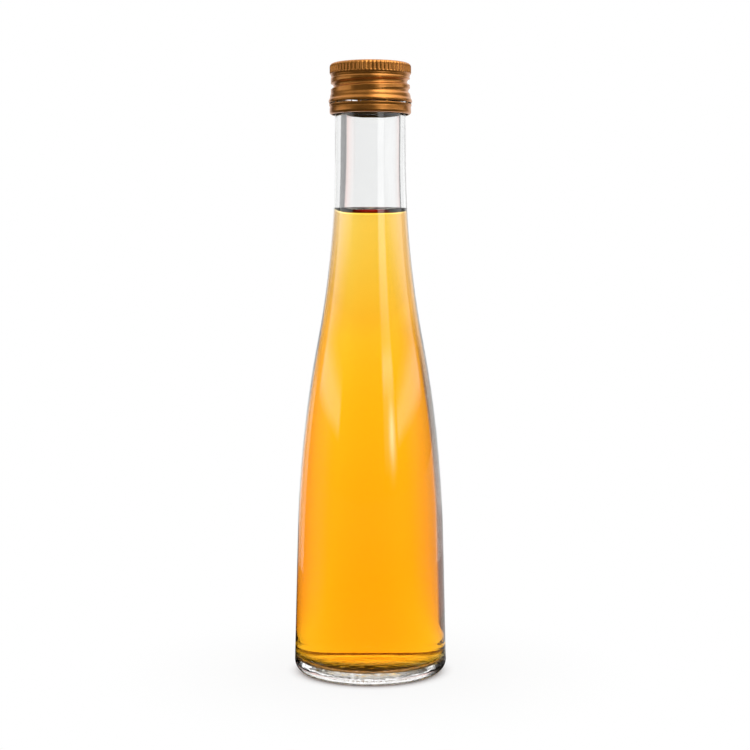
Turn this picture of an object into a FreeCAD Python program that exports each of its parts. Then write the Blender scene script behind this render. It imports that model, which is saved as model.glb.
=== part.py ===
import FreeCAD, Part
import math
import os
import Sketcher

# A filled 0.2 litre liqueur bottle of flint glass, closed by a 28 x 18 mm rolled-on
# pilfer-proof cap. Millimetres, +Z up, the bottle's axis on Z, its bearing ring on z = 0.
# The side facing -Y is the front.

DRIVING_SIZES = {
    # glass, outside
    "glass_height": 209.85,
    "heel_diameter": 53.2,
    "heel_radius": 3.5,
    "bearing_width": 1.8,
    "pushup_height": 2.2,
    "body_taper": 1.17,
    "shoulder_share": 0.2383,
    "waist_share": 0.5556,
    "neck_length": 29.85,
    "neck_step": 0.04,
    # glass, inside
    "body_wall": 1.8,
    "neck_wall": 3.01,
    "heel_thickness": 3.9,
    "floor_thickness": 3.2,
    "floor_corner": 5.0,
    "mouth_flare": 0.6,
    # glass, finish under the cap
    "lip_radius": 1.0,
    "thread_clearance": 0.15,
    "ring_clearance": 0.2,
    "ring_thickness": 2.0,
    "ring_slope": 0.7,
    # drink
    "fill_drop": 49.05,
    "meniscus_rise": 2.2,
    "meniscus_radius": 2.9,
    "film_gap": 0.03,
    # sealing disc
    "liner_thickness": 1.6,
    "liner_clearance": 0.1,
    # cap shell, its steps measured out from the skirt
    "cap_height": 17.5,
    "cap_gauge": 0.25,
    "crown_radius": 1.3,
    "skirt_diameter": 27.3,
    "knurl_over": 0.4,
    "knurl_height": 3.6,
    "knurl_lead": 0.3,
    "knurl_depth": 0.3,
    "knurl_count": 64,
    "flute_radius": 0.55,
    "ring_groove_depth": 0.23,
    "ring_groove_drop": 1.55,
    "ring_groove_fall": 0.35,
    "ring_groove_rise": 0.4,
    "ring_groove_shy": 0.03,
    "bead_over": 0.775,
    "bead_rise": 0.3,
    "bead_width": 0.6,
    "step_over": 0.3,
    "step_lean": 0.05,
    "step_start_share": 0.45,
    "step_end_share": 0.7,
    "flare_height": 2.9,
    # rolled thread
    "thread_pitch": 3.1,
    "thread_drop": 3.5,
    "roller_radius": 1.0,
    "roller_depth": 0.95,
    # tamper band
    "band_over": 0.4,
    "band_height": 3.5,
    "band_groove_depth": 0.1,
    "band_groove_drop": 1.25,
    "band_groove_run": 0.25,
    "lip_over": 0.6,
    "lip_drop": 0.3,
    "lip_lean": 0.05,
    "tuck_height": 0.9,
    "tuck_depth": 0.75,
    "band_clearance": 0.25,
    "slit_height": 0.5,
    "bridge_count": 9,
    "bridge_width": 0.8,
    "bridge_angle": 254.0,
}

# Where the roller enters the skirt, reaches its full depth, begins to rise and leaves,
# in degrees about the axis from +X, falling as the groove runs down to the right.
THREAD_TOP = 545.0
THREAD_TOP_FULL = 475.0
THREAD_LOW_FULL = 170.0
THREAD_LOW = -130.0
THREAD_STEP = 15.0
THREAD_SPANS = 15
ROLLER_LIFT = 0.15
OVERSHOOT = 1.0
# Where the search for the wall's bend ends, in radians, and how often it halves its span.
STEEPEST_BEND = 1.2
HALVINGS = 50

doc = FreeCAD.newDocument("LiqueurBottle")
sheet = doc.addObject("Spreadsheet::Sheet", "Sizes")
for row, (alias, number) in enumerate(DRIVING_SIZES.items(), start=1):
    sheet.set("A%d" % row, alias.replace("_", " "))
    sheet.set("B%d" % row, str(number))
    sheet.setAlias("B%d" % row, alias)
doc.recompute()


class Size:
    """A number together with the sheet expression that works it out."""

    def __init__(self, value, text):
        self.value = float(value)
        self.text = text

    def _join(self, other, sign, result):
        return Size(result, "(%s %s %s)" % (self.text, sign, as_size(other).text))

    def __add__(self, other):
        return self._join(other, "+", self.value + as_size(other).value)

    def __sub__(self, other):
        return self._join(other, "-", self.value - as_size(other).value)

    def __mul__(self, other):
        return self._join(other, "*", self.value * as_size(other).value)

    def __truediv__(self, other):
        return self._join(other, "/", self.value / as_size(other).value)


def as_size(number):
    if isinstance(number, Size):
        return number
    return Size(number, repr(number))


def cell(alias):
    return Size(getattr(sheet, alias), "Sizes." + alias)


def radius(alias):
    return cell(alias) / 2


class Free:
    """A coordinate that the sketch works out: the number is only where it starts."""

    def __init__(self, value):
        self.value = float(value.value if isinstance(value, Size) else value)


class Line:
    """A straight run of an outline."""

    turn = 0.0


class Arc:
    """A round run of an outline. It turns left by about this many degrees, right if
    negative. A radius or a centre is given only where tangents don't settle it."""

    def __init__(self, turn, radius=None, centre_x=None, centre_y=None):
        self.turn = turn
        self.radius = radius
        self.centre_x = centre_x
        self.centre_y = centre_y


class Corner:
    """A point of an outline, in a half section: x is the radius and y the height."""

    def __init__(self, x, y, smooth=False):
        self.x = x
        self.y = y
        self.smooth = smooth


def plane_of(body, role):
    return next(plane for plane in body.Origin.OriginFeatures if plane.Role == role)


def bind(sketch, index, size):
    sketch.setExpression("Constraints[%d]" % index, size.text)


def pin(sketch, kind, geometry, point, size):
    """Holds one coordinate of a point of the sketch at a size of the sheet."""
    if isinstance(size, Free):
        return
    size = as_size(size)
    if size.text in ("0", "0.0"):
        axis = -2 if kind == "DistanceX" else -1
        sketch.addConstraint(Sketcher.Constraint("PointOnObject", geometry, point, axis))
        return
    held = Sketcher.Constraint(kind, -1, 1, geometry, point, size.value)
    bind(sketch, sketch.addConstraint(held), size)


def bowed(start, end, turn):
    """The arc from start to end that turns by this angle, drawn anticlockwise."""
    if turn < 0:
        start, end = end, start
    half = math.radians(abs(turn)) / 2
    chord = end - start
    reach = chord.Length / 2 / math.tan(half)
    left = FreeCAD.Vector(-chord.y, chord.x, 0).normalize()
    centre = (start + end) / 2 + left * reach
    first = math.atan2(start.y - centre.y, start.x - centre.x)
    circle = Part.Circle(centre, FreeCAD.Vector(0, 0, 1), chord.Length / 2 / math.sin(half))
    return Part.ArcOfCircle(circle, first, first + 2 * half)


def draw_outline(body, name, corners, runs):
    """A closed half section on the body's XZ plane: runs[i] leaves corners[i]."""
    sketch = body.newObject("Sketcher::SketchObject", name)
    sketch.AttachmentSupport = [(plane_of(body, "XZ_Plane"), "")]
    sketch.MapMode = "FlatFace"
    spots = [FreeCAD.Vector(as_number(c.x), as_number(c.y), 0) for c in corners]
    ends = []
    for index, run in enumerate(runs):
        start = spots[index]
        end = spots[(index + 1) % len(spots)]
        if run.turn:
            sketch.addGeometry(bowed(start, end, run.turn), False)
        else:
            sketch.addGeometry(Part.LineSegment(start, end), False)
        ends.append((2, 1) if run.turn < 0 else (1, 2))
    for index, corner in enumerate(corners):
        before = (index - 1) % len(runs)
        join = "Tangent" if corner.smooth else "Coincident"
        meet = Sketcher.Constraint(join, before, ends[before][1], index, ends[index][0])
        sketch.addConstraint(meet)
        pin(sketch, "DistanceX", index, ends[index][0], corner.x)
        pin(sketch, "DistanceY", index, ends[index][0], corner.y)
    for index, run in enumerate(runs):
        if not run.turn:
            continue
        if run.radius is not None:
            held = Sketcher.Constraint("Radius", index, run.radius.value)
            bind(sketch, sketch.addConstraint(held), run.radius)
        if run.centre_x is not None:
            pin(sketch, "DistanceX", index, 3, run.centre_x)
        if run.centre_y is not None:
            pin(sketch, "DistanceY", index, 3, run.centre_y)
    return sketch


def as_number(coordinate):
    return coordinate.value if hasattr(coordinate, "value") else float(coordinate)


def new_body(name):
    body = doc.addObject("PartDesign::Body", name)
    body.Label = name
    return body


def turned(body, kind, name, sketch):
    """A full turn of the sketch about the body's Z axis, added or cut away."""
    feature = body.newObject("PartDesign::" + kind, name)
    feature.Profile = sketch
    feature.ReferenceAxis = (sketch, ["V_Axis"])
    feature.Angle = 360
    return feature


def wall_curve(heel, shoulder, neck, foot_height, foot_radius):
    """The side of the bottle from the heel up: a slightly tapered wall, the long round
    shoulder and the hollow curve that runs out into the neck. It starts where a curve of
    foot_radius, centred at foot_height, meets the wall. Also gives the wall's lean."""
    lower = (waist_height - shoulder_height).value
    upper = (neck_height - waist_height).value
    taper = (heel - shoulder).value
    lean = math.atan2(taper, (shoulder_height - foot_height).value)
    foot = foot_height.value + foot_radius.value * math.sin(lean)
    lean = math.atan2(taper, shoulder_height.value - foot)
    low, high = lean, STEEPEST_BEND
    for _ in range(HALVINGS):
        bend = (low + high) / 2
        drop = lower * math.tan((bend + lean) / 2) + upper * math.tan(bend / 2)
        if drop < (shoulder - neck).value:
            low = bend
        else:
            high = bend
    waist = neck.value + upper * math.tan(bend / 2)
    corners = [
        Corner(heel, Free(foot), smooth=True),
        Corner(shoulder, shoulder_height, smooth=True),
        Corner(Free(waist), waist_height, smooth=True),
        Corner(neck, neck_height, smooth=True),
    ]
    runs = [Line(), Arc(math.degrees(bend - lean)), Arc(-math.degrees(bend)), Line()]
    return corners, runs, lean


# Places that more than one piece shares.
shoulder_height = cell("glass_height") * cell("shoulder_share")
waist_height = cell("glass_height") * cell("waist_share")
neck_height = cell("glass_height") - cell("neck_length")
skirt_side = radius("skirt_diameter")
knurl_side = skirt_side + cell("knurl_over")
bead_side = skirt_side + cell("bead_over")
band_side = skirt_side + cell("band_over")
knurl_foot = cell("cap_height") - cell("knurl_height")
inner_skirt = skirt_side - cell("cap_gauge")
finish_side = inner_skirt - cell("roller_depth") - cell("thread_clearance")
ring_side = band_side - cell("cap_gauge") - cell("ring_clearance")
neck_side = finish_side - cell("neck_step")
bore_side = neck_side - cell("neck_wall")
shoulder_side = radius("heel_diameter") - cell("body_taper")
cap_foot = cell("glass_height") + cell("liner_thickness") + cell("cap_gauge") - cell("cap_height")
ring_foot = cap_foot + cell("tuck_height") + cell("band_clearance")


def make_glass():
    """The bottle: heel, push-up, wall, neck, locking ring and lip, then its cavity."""
    body = new_body("bottle_glass")
    heel = radius("heel_diameter")
    shoulder = shoulder_side
    neck = neck_side
    finish = finish_side
    ring = ring_side
    top = cell("glass_height")
    bearing = heel - cell("heel_radius")
    side, side_runs, lean = wall_curve(
        heel, shoulder, neck, cell("heel_radius"), cell("heel_radius"))
    corners = [
        Corner(0, cell("pushup_height")),
        Corner(bearing - cell("bearing_width"), 0),
        Corner(Free(heel.value - cell("heel_radius").value * math.cos(lean)), 0, smooth=True),
    ] + side + [
        Corner(neck, ring_foot - cell("ring_slope")),
        Corner(ring, ring_foot),
        Corner(ring, ring_foot + cell("ring_thickness") - cell("ring_slope")),
        Corner(finish, ring_foot + cell("ring_thickness")),
        Corner(finish, Free(top - cell("lip_radius")), smooth=True),
        Corner(Free(finish - cell("lip_radius")), top, smooth=True),
        Corner(0, top),
    ]
    runs = [
        Arc(-12, centre_x=0),
        Line(),
        Arc(90 - math.degrees(lean), radius=cell("heel_radius")),
    ] + side_runs + [
        Line(),
        Line(),
        Line(),
        Line(),
        Arc(90, radius=cell("lip_radius")),
        Line(),
        Line(),
    ]
    turned(body, "Revolution", "glass_outside", draw_outline(body, "glass_profile", corners, runs))
    doc.recompute()
    corners, runs = cavity_outline(0, top + OVERSHOOT)
    turned(body, "Groove", "cavity", draw_outline(body, "cavity_profile", corners, runs))
    return body


def cavity_side(gap):
    """The domed floor of the cavity, the rounded corner and the wall above it."""
    heel_side = radius("heel_diameter") - cell("body_wall") - gap
    crown = cell("pushup_height") + cell("floor_thickness") + gap
    corner = cell("floor_corner") - gap
    corner_height = cell("heel_thickness") + cell("floor_corner")
    side, side_runs, lean = wall_curve(
        heel_side, shoulder_side - cell("body_wall") - gap, bore_side - gap,
        corner_height, corner)
    across = heel_side.value - corner.value * math.cos(lean)
    up = (corner_height - crown).value
    dome = (across ** 2 + up ** 2 - corner.value ** 2) / 2 / (corner.value - up)
    tilt = math.atan2(across, up + dome)
    edge = dome * math.sin(tilt)
    edge_height = crown.value - dome * (1 - math.cos(tilt))
    corners = [
        Corner(0, crown),
        Corner(Free(edge), Free(edge_height), smooth=True),
    ] + side
    runs = [
        Arc(-math.degrees(tilt), centre_x=0),
        Arc(90 + math.degrees(lean + tilt), radius=corner, centre_y=corner_height),
    ] + side_runs
    return corners, runs


def cavity_outline(gap, top):
    """The whole inside of the bottle, from its floor out through the mouth."""
    bore = bore_side - gap
    side, side_runs = cavity_side(gap)
    mouth = cell("glass_height")
    flare = cell("mouth_flare")
    corners = side + [
        Corner(bore, mouth - flare, smooth=True),
        Corner(bore + flare, mouth),
        Corner(bore + flare, top),
        Corner(0, top),
    ]
    runs = side_runs + [
        Arc(-90),
        Line(),
        Line(),
        Line(),
    ]
    return corners, runs


def make_drink():
    """The drink: the cavity filled up to its level, with the rise at the glass."""
    body = new_body("liqueur")
    gap = cell("film_gap")
    bore = bore_side - gap
    level = cell("glass_height") - cell("fill_drop")
    contact = level + cell("meniscus_rise")
    side, side_runs = cavity_side(gap)
    side, side_runs, hollow = side[:-1], side_runs[:-1], side_runs[-2]
    bend = math.radians(-hollow.turn)
    sweep = (neck_height - waist_height).value / math.sin(bend)
    slope = math.asin((neck_height - contact).value / sweep)
    reach = bore.value + sweep * (1 - math.cos(slope))
    curl = math.acos(1 - (cell("meniscus_rise") / cell("meniscus_radius")).value)
    inner_edge = reach - cell("meniscus_radius").value * math.sin(curl)
    corners = side + [
        Corner(Free(reach), contact),
        Corner(Free(inner_edge), level, smooth=True),
        Corner(0, level),
    ]
    runs = side_runs[:-1] + [
        Arc(math.degrees(slope - bend), centre_y=neck_height),
        Arc(-math.degrees(curl), radius=cell("meniscus_radius")),
        Line(),
        Line(),
    ]
    sketch = draw_outline(body, "drink_profile", corners, runs)
    start = FreeCAD.Vector(bore.value, neck_height.value, 0)
    mark = sketch.addGeometry(Part.Point(start), True)
    pin(sketch, "DistanceX", mark, 1, bore)
    pin(sketch, "DistanceY", mark, 1, neck_height)
    hollow_curve = len(side_runs) - 1
    sketch.addConstraint(Sketcher.Constraint("PointOnObject", mark, 1, hollow_curve))
    turned(body, "Revolution", "drink", sketch)
    return body


def make_liner():
    """The sealing disc pressed between the lip and the cap's top."""
    body = new_body("cap_liner")
    edge = inner_skirt - cell("liner_clearance")
    corner = cell("crown_radius") - cell("cap_gauge")
    thick = cell("liner_thickness")
    corners = [
        Corner(0, 0),
        Corner(edge, 0),
        Corner(edge, Free(thick - corner), smooth=True),
        Corner(Free(edge - corner), thick, smooth=True),
        Corner(0, thick),
    ]
    runs = [Line(), Line(), Arc(90, radius=corner), Line(), Line()]
    turned(body, "Revolution", "disc", draw_outline(body, "disc_profile", corners, runs))
    body.Placement.Base.z = cell("glass_height").value
    body.setExpression("Placement.Base.z", cell("glass_height").text)
    return body


def cap_side(inset):
    """The cap's side from its foot to the ring groove under the knurl, moved in."""
    band = band_side - inset
    lip = skirt_side + cell("lip_over") - inset
    bead = bead_side - inset
    step = skirt_side + cell("step_over") - inset
    skirt = skirt_side - inset
    band_top = cell("band_height")
    slit_top = band_top + cell("slit_height")
    bead_foot = slit_top + cell("bead_rise")
    flare = cell("flare_height")
    groove_top = knurl_foot - cell("ring_groove_drop")
    groove_floor = groove_top + cell("ring_groove_fall")
    corners = [
        Corner(band - cell("tuck_depth"), 0),
        Corner(band, cell("tuck_height"), smooth=True),
        Corner(band, band_top - cell("band_groove_drop")),
        Corner(
            band - cell("band_groove_depth"),
            band_top - cell("band_groove_drop") + cell("band_groove_run")),
        Corner(lip, band_top - cell("lip_drop")),
        Corner(lip - cell("lip_lean"), slit_top),
        Corner(bead, bead_foot),
        Corner(bead, bead_foot + cell("bead_width")),
        Corner(step, bead_foot + flare * cell("step_start_share")),
        Corner(step - cell("step_lean"), bead_foot + flare * cell("step_end_share")),
        Corner(skirt, bead_foot + flare),
        Corner(skirt, groove_top),
        Corner(skirt - cell("ring_groove_depth"), groove_floor),
        Corner(skirt - cell("ring_groove_shy"), groove_floor + cell("ring_groove_rise")),
    ]
    runs = [Arc(50)] + [Line() for _ in corners[1:]]
    return corners, runs


def cap_outline(inset, foot, crown_side, crown_radius, top):
    """A half section of the cap, solid to the axis. The side stands on foot."""
    side, side_runs = cap_side(inset)
    corners = [Corner(0, foot)]
    runs = [Line()]
    if foot:
        corners.append(Corner(side[0].x, foot))
        runs.append(Line())
    corners += side + [
        Corner(skirt_side - inset, knurl_foot - cell("knurl_lead")),
        Corner(crown_side, knurl_foot),
        Corner(crown_side, Free(top - crown_radius), smooth=True),
        Corner(Free(crown_side - crown_radius), top, smooth=True),
        Corner(0, top),
    ]
    runs += side_runs + [Line(), Line(), Arc(90, radius=crown_radius), Line(), Line()]
    return corners, runs


def thread_path(name):
    """The line that the middle of the roller follows round the skirt: a helix that
    comes in from outside, runs at its depth and slowly lifts out again."""
    skirt = cell("skirt_diameter").value / 2
    roller = cell("roller_radius").value
    depth = cell("roller_depth").value
    pitch = cell("thread_pitch").value
    front = (knurl_foot - cell("thread_drop")).value

    def sunk(angle):
        entering = (THREAD_TOP - angle) / (THREAD_TOP - THREAD_TOP_FULL)
        leaving = (angle - THREAD_LOW) / (THREAD_LOW_FULL - THREAD_LOW)
        share = min(1.0, entering, leaving)
        return math.sin(share * math.pi / 2) * (depth + ROLLER_LIFT) - ROLLER_LIFT

    points = []
    count = round((THREAD_TOP - THREAD_LOW) / THREAD_STEP)
    for index in range(count + 1):
        angle = THREAD_LOW + (THREAD_TOP - THREAD_LOW) * index / count
        reach = skirt + roller - sunk(angle)
        turn = math.radians(angle)
        height = front + pitch * (angle - 270.0) / 360.0
        points.append(FreeCAD.Vector(reach * math.cos(turn), reach * math.sin(turn), height))
    curve = Part.BSplineCurve()
    curve.interpolate(points)
    first = curve.FirstParameter
    span = (curve.LastParameter - first) / THREAD_SPANS
    edges = [curve.toShape(first + i * span, first + (i + 1) * span) for i in range(THREAD_SPANS)]
    path = doc.addObject("Part::Feature", name)
    path.Shape = Part.Wire(edges)
    return path


def roller_track(path, name, roller):
    """The space that a round roller of this radius sweeps along the path."""
    edge = path.Shape.Edges[0]
    start = edge.valueAt(edge.FirstParameter)
    along = edge.tangentAt(edge.FirstParameter)
    section = doc.addObject("Part::Circle", name + "_section")
    section.Radius = roller.value
    section.setExpression("Radius", roller.text)
    turn = FreeCAD.Rotation(FreeCAD.Vector(0, 0, 1), along)
    section.Placement = FreeCAD.Placement(start, turn)
    sweep = doc.addObject("Part::Sweep", name)
    sweep.Sections = [section]
    sweep.Spine = (path, ["Edge%d" % (i + 1) for i in range(THREAD_SPANS)])
    sweep.Solid = True
    sweep.Frenet = True
    return sweep


def cut(name, base, tool):
    feature = doc.addObject("Part::Cut", name)
    feature.Base = base
    feature.Tool = tool
    feature.Label = name
    return feature


def make_knurl(body):
    """The ring of upright flutes round the top of the cap."""
    flute = cell("flute_radius")
    middle = knurl_side - cell("knurl_depth") + flute
    sketch = body.newObject("Sketcher::SketchObject", "flute_profile")
    sketch.AttachmentSupport = [(plane_of(body, "XY_Plane"), "")]
    sketch.MapMode = "FlatFace"
    low = knurl_foot - cell("knurl_lead")
    sketch.AttachmentOffset.Base.z = low.value
    sketch.setExpression("AttachmentOffset.Base.z", low.text)
    centre = FreeCAD.Vector(middle.value, 0, 0)
    circle = Part.Circle(centre, FreeCAD.Vector(0, 0, 1), flute.value)
    ring = sketch.addGeometry(circle, False)
    pin(sketch, "DistanceX", ring, 3, middle)
    pin(sketch, "DistanceY", ring, 3, 0)
    held = Sketcher.Constraint("Radius", ring, flute.value)
    bind(sketch, sketch.addConstraint(held), flute)
    doc.recompute()
    length = cell("knurl_height") + cell("knurl_lead") + OVERSHOOT
    pocket = body.newObject("PartDesign::Pocket", "flute")
    pocket.Profile = sketch
    pocket.Reversed = True
    pocket.Length = length.value
    pocket.setExpression("Length", length.text)
    doc.recompute()
    pattern = body.newObject("PartDesign::PolarPattern", "knurl")
    pattern.Originals = [pocket]
    pattern.Axis = (plane_of(body, "Z_Axis"), [""])
    pattern.Angle = 360
    pattern.Occurrences = int(cell("knurl_count").value)
    pattern.setExpression("Occurrences", cell("knurl_count").text)
    body.Tip = pattern


def make_slits():
    """The cuts between the bridges, which leave the tamper band hanging from them."""
    count = int(cell("bridge_count").value)
    outside = bead_side + OVERSHOOT
    share = as_size(360) / cell("bridge_count")
    bridge = cell("bridge_width") / band_side * (180 / math.pi)
    slits = []
    for index in range(count):
        slit = doc.addObject("Part::Cylinder", "slit_%d" % (index + 1))
        slit.Radius = outside.value
        slit.setExpression("Radius", outside.text)
        slit.Height = cell("slit_height").value
        slit.setExpression("Height", cell("slit_height").text)
        slit.Angle = (share - bridge).value
        slit.setExpression("Angle", (share - bridge).text)
        start = cell("bridge_angle") + share * index + bridge / 2
        turn = FreeCAD.Rotation(FreeCAD.Vector(0, 0, 1), start.value)
        place = FreeCAD.Vector(0, 0, cell("band_height").value)
        slit.Placement = FreeCAD.Placement(place, turn)
        slit.setExpression("Placement.Base.z", cell("band_height").text)
        slits.append(slit)
    ring = doc.addObject("Part::MultiFuse", "slits")
    ring.Shapes = slits
    return ring


def make_cap():
    """The cap: one aluminium shell with its knurl, rolled thread, bead and tamper band."""
    outside = new_body("cap_outside")
    corners, runs = cap_outline(
        as_size(0), 0, knurl_side, cell("crown_radius"), cell("cap_height"))
    turned(outside, "Revolution", "cap_form", draw_outline(outside, "cap_profile", corners, runs))
    doc.recompute()
    make_knurl(outside)
    inside = new_body("cap_inside")
    gauge = cell("cap_gauge")
    corners, runs = cap_outline(
        gauge, -OVERSHOOT, inner_skirt, cell("crown_radius") - gauge, cell("cap_height") - gauge)
    turned(inside, "Revolution", "cap_hollow", draw_outline(inside, "hollow_profile", corners, runs))
    path = thread_path("thread_line")
    groove = roller_track(path, "thread_groove", cell("roller_radius"))
    rib = roller_track(path, "thread_rib", cell("roller_radius") + gauge)
    doc.recompute()
    threaded_outside = cut("threaded_outside", outside, groove)
    threaded_inside = cut("threaded_inside", inside, rib)
    shell = cut("cap_shell", threaded_outside, threaded_inside)
    cap = cut("cap", shell, make_slits())
    cap.Placement.Base.z = cap_foot.value
    cap.setExpression("Placement.Base.z", cap_foot.text)
    return cap


pieces = [make_glass(), make_drink(), make_liner(), make_cap()]
doc.recompute()

for thing in doc.Objects:
    if "Invalid" in thing.State or "Error" in thing.State:
        raise RuntimeError("%s failed: %s" % (thing.Name, thing.State))
os.makedirs("parts", exist_ok=True)
for piece in pieces:
    shape = piece.Shape
    if shape.isNull() or not shape.isValid() or len(shape.Solids) != 1:
        raise RuntimeError("%s is not one sound solid" % piece.Label)
    print("%-14s %9.1f mm3" % (piece.Label, shape.Volume))
    shape.exportStep("parts/%s.step" % piece.Label)
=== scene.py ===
import math

import bpy
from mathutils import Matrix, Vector, noise


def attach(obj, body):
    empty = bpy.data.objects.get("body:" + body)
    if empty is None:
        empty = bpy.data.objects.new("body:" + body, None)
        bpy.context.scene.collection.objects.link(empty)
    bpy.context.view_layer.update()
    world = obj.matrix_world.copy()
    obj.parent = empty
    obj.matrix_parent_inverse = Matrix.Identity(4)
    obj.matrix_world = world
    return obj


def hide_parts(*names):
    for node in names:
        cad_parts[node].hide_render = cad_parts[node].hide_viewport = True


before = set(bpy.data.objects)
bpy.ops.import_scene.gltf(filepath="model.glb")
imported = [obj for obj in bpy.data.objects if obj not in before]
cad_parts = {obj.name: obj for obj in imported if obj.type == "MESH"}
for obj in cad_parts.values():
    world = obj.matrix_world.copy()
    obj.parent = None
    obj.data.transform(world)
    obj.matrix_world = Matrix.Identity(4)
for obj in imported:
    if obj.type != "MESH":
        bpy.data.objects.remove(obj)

bl_info = {
    "name": "Filled glass liqueur bottle",
    "version": (1, 0, 0),
    "blender": (4, 5, 0),
    "location": "3D View > Sidebar > Bottle",
    "description": "Dresses the liqueur bottle: flint glass, amber drink, rolled-on cap and studio",
    "category": "Object",
}

MM = 0.001


def length(name, description, millimetres):
    """A length setting, given in millimetres and kept in metres."""
    return bpy.props.FloatProperty(
        name=name, description=description, default=millimetres * MM,
        unit="LENGTH", precision=5)


def share(name, description, default):
    """A setting from nothing to all."""
    return bpy.props.FloatProperty(
        name=name, description=description, default=default,
        min=0.0, max=1.0, subtype="FACTOR")


def level(name, description, default):
    """A brightness setting, where 1 is white."""
    return bpy.props.FloatProperty(name=name, description=description, default=default, min=0.0)


def colour(name, description, default):
    """A colour setting, linear red, green and blue."""
    return bpy.props.FloatVectorProperty(
        name=name, description=description, default=default,
        size=3, min=0.0, max=1.0, subtype="COLOR")


def angle(name, description, degrees):
    """An angle setting, given in degrees."""
    return bpy.props.FloatProperty(
        name=name, description=description, default=math.radians(degrees), subtype="ANGLE")


class GlassSettings(bpy.types.PropertyGroup):
    """Sizes and finish of the glass."""
    height: length("Height", "Bearing ring to lip", 209.85)
    heel: length("Heel diameter", "Outside, just above the heel curve", 53.2)
    heel_curve: length("Heel curve", "Radius from the wall into the bearing ring", 4.2)
    bearing: length("Bearing width", "Width of the ring the bottle stands on", 1.8)
    pushup: length("Push-up", "Rise of the underside at its middle", 2.2)
    shoulder: length("Shoulder diameter", "Outside, where the wall begins to curve in", 50.86)
    shoulder_height: length("Shoulder height", "Where the wall begins to curve in", 50.007)
    waist_height: length("Waist height", "Where the shoulder turns into the neck curve", 116.593)
    neck: length("Neck diameter", "Outside, in the straight neck", 24.52)
    neck_height: length("Neck height", "Where the neck becomes straight", 180.0)
    wall: length("Wall", "Thickness of the body's wall", 1.8)
    bore: length("Bore", "Inside diameter of the neck", 18.5)
    heel_thickness: length("Heel thickness", "Glass under the corner of the floor", 3.9)
    floor_thickness: length("Floor thickness", "Glass at the middle of the floor", 3.2)
    floor_corner: length("Floor corner", "Radius inside, from the floor to the wall", 5.0)
    finish: length("Finish diameter", "Outside, under the cap", 24.6)
    ring: length("Locking ring diameter", "The ring that holds the tamper band", 27.2)
    ring_foot: length("Locking ring height", "Foot of the ring", 195.35)
    ring_thickness: length("Locking ring thickness", "Foot to top", 2.0)
    unevenness: length("Unevenness", "How far the blown inside wanders from round", 0.12)
    chill: level("Chill marks", "Ripple pressed into the base, next to that of the wall", 3.5)
    drift: length("Bore drift", "How far the neck's bore sits to the right of its outside", 0.5)
    tint: colour("Tint", "Colour of the glass itself", (0.994, 0.998, 0.997))


class DrinkSettings(bpy.types.PropertyGroup):
    """Level and colour of the drink."""
    level: length("Level", "Height of the drink's flat surface", 159.6)
    rise: length("Rise at the glass", "How far the edge of the drink climbs", 2.3)
    pull: length("Capillary length", "Sets how wide the curved edge is", 1.87)
    bite: length("Reach into the glass", "Overlap that joins drink and glass", 0.06)
    tint: colour("Tint", "What the drink lets through", (0.999, 0.815, 0.0))
    strength: bpy.props.FloatProperty(
        name="Strength", description="How fast colour builds up, per metre", default=130.0, min=0.0)


class CapSettings(bpy.types.PropertyGroup):
    """Sizes and finish of the rolled-on cap."""
    foot: length("Foot height", "Height of the cap's open edge", 194.2)
    height: length("Cap height", "Open edge to crown", 17.5)
    gauge: length("Gauge", "Thickness of the aluminium", 0.25)
    crown_curve: length("Crown curve", "Radius at the top edge", 1.3)
    knurl: length("Knurl diameter", "Over the ribs", 28.1)
    knurl_height: length("Knurl height", "Foot of the ribs to the crown", 3.6)
    knurl_depth: length("Knurl depth", "Depth of the flutes", 0.3)
    skirt: length("Skirt diameter", "Outside of the threaded part", 27.3)
    bead: length("Bead diameter", "Over the bead above the bridges", 28.85)
    step: length("Step diameter", "Over the step above the bead", 27.9)
    band: length("Band diameter", "Over the tamper band", 28.1)
    lip: length("Band lip diameter", "Top of the tamper band", 28.5)
    band_height: length("Band height", "Open edge to the slits", 3.5)
    slit: length("Slit height", "Height of the open slits", 0.5)
    pitch: length("Thread pitch", "Rise of the rolled thread in one turn", 3.1)
    thread_front: length("Thread height at the front", "Above the cap's foot", 10.4)
    roller: length("Roller radius", "Of the tool that rolls the thread", 1.0)
    sunk: length("Thread depth", "How far the roller sinks in", 0.95)
    bridge_angle: angle("Bridge angle", "Place of the first bridge round the cap", 254.0)
    lacquer: colour("Lacquer", "Bronze lacquer over the metal", (0.64, 0.245, 0.04))
    inside: colour("Inside", "Gold lacquer inside and along the slits", (0.48, 0.31, 0.13))
    roughness: share("Roughness", "Of the lacquered metal", 0.32)
    liner: colour("Sealing disc", "Pale foam disc under the crown", (0.80, 0.79, 0.76))


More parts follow.
